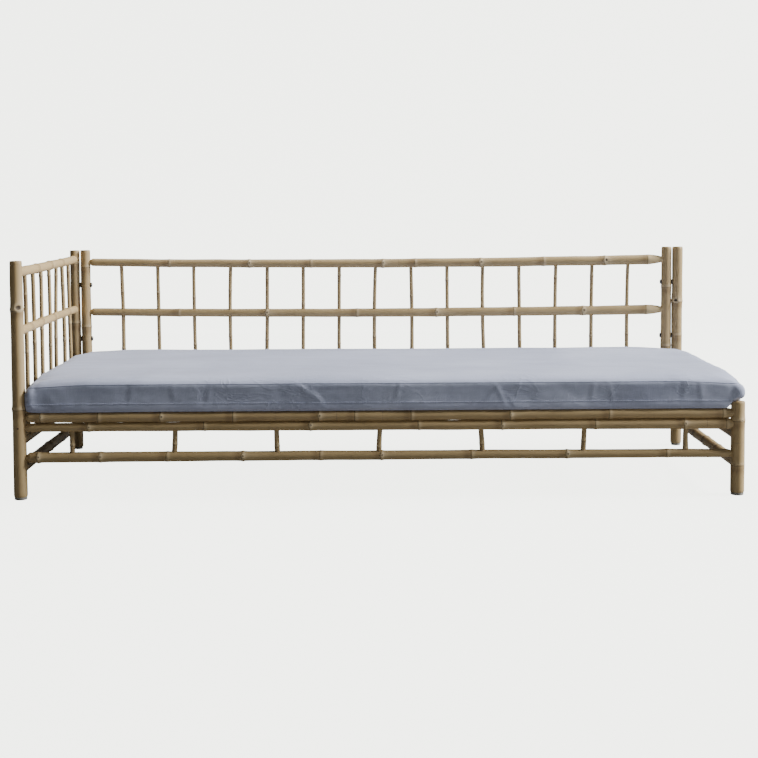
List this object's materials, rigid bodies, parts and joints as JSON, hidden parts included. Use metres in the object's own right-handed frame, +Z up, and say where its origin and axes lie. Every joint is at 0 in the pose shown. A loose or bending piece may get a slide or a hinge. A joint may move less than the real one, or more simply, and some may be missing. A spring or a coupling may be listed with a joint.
{
  "type": "daybed",
  "caption": "Long bamboo daybed: round cane frame with a spindled back panel and a spindled left end, open on the right, carrying a loose fabric-covered mattress.",
  "frame": {"origin": "on the floor under the middle of the bed", "axes": "+X to the bed's right as seen from the front, -Y to the front, +Z up"},
  "size_m": [2.1069, 0.851, 0.685],
  "materials": {
    "post_cane": "satin",
    "rail_cane": "satin",
    "thin_cane": "satin",
    "slat_cane": "satin",
    "peg_wood": "matte",
    "glide_plastic": "matte",
    "bolt_steel": "satin",
    "insert_brass": "satin",
    "cover_fabric": "matte",
    "foam": "matte",
    "zip_tape": "matte",
    "zip_metal": "satin"
  },
  "bodies": {
    "frame": {"back_bottom_rail": "rail_cane", "back_left_post": "post_cane", "back_middle_rail": "rail_cane", "back_panel_left_post": "post_cane", "back_panel_right_post": "post_cane", "back_right_post": "post_cane", "back_seat_rail": "rail_cane", "back_short_spindles": "thin_cane", "back_spindle_1": "thin_cane", "back_spindle_10": "thin_cane", "back_spindle_11": "thin_cane", "back_spindle_12": "thin_cane", "back_spindle_13": "thin_cane", "back_spindle_14": "thin_cane", "back_spindle_15": "thin_cane", "back_spindle_2": "thin_cane", "back_spindle_3": "thin_cane", "back_spindle_4": "thin_cane", "back_spindle_5": "thin_cane", "back_spindle_6": "thin_cane", "back_spindle_7": "thin_cane", "back_spindle_8": "thin_cane", "back_spindle_9": "thin_cane", "back_stretcher": "rail_cane", "back_top_rail": "rail_cane", "foot_glides": "glide_plastic", "front_left_post": "post_cane", "front_lower_rail": "rail_cane", "front_right_post": "post_cane", "front_spindle_1": "thin_cane", "front_spindle_2": "thin_cane", "front_spindle_3": "thin_cane", "front_spindle_4": "thin_cane", "front_spindle_5": "thin_cane", "front_spindle_6": "thin_cane", "front_spindle_7": "thin_cane", "front_stretcher": "rail_cane", "front_upper_rail": "rail_cane", "left_middle_rail": "rail_cane", "left_seat_rail": "rail_cane", "left_spindle_1": "thin_cane", "left_spindle_2": "thin_cane", "left_spindle_3": "thin_cane", "left_spindle_4": "thin_cane", "left_spindle_5": "thin_cane", "left_spindle_6": "thin_cane", "left_spindle_7": "thin_cane", "left_stretcher": "rail_cane", "left_top_rail": "rail_cane", "panel_bolts": "bolt_steel", "panel_inserts": "insert_brass", "right_seat_rail": "rail_cane", "right_stretcher": "rail_cane", "seat_slats": "slat_cane", "tenon_pegs": "peg_wood"},
    "mattress": {"mattress_cover": "cover_fabric", "mattress_core": "foam", "zip_chain": "zip_tape"},
    "zip_slider": {"zip_slider": "zip_metal"},
    "zip_pull": {"zip_pull": "zip_metal"}
  },
  "joints": [
    {"name": "mattress_lift", "type": "slide", "parent": "frame", "child": "mattress", "axis": [0, 0, 1], "range_m": [0, 0.45]},
    {"name": "zip_slide", "type": "slide", "parent": "mattress", "child": "zip_slider", "axis": [0, -1, 0], "range_m": [0, 0.655]},
    {"name": "zip_pull_turn", "type": "hinge", "parent": "zip_slider", "child": "zip_pull", "pos_m": [1.0534, 0.328, 0.2973], "axis": [0, 0, 1], "range_deg": [0, 170]}
  ]
}
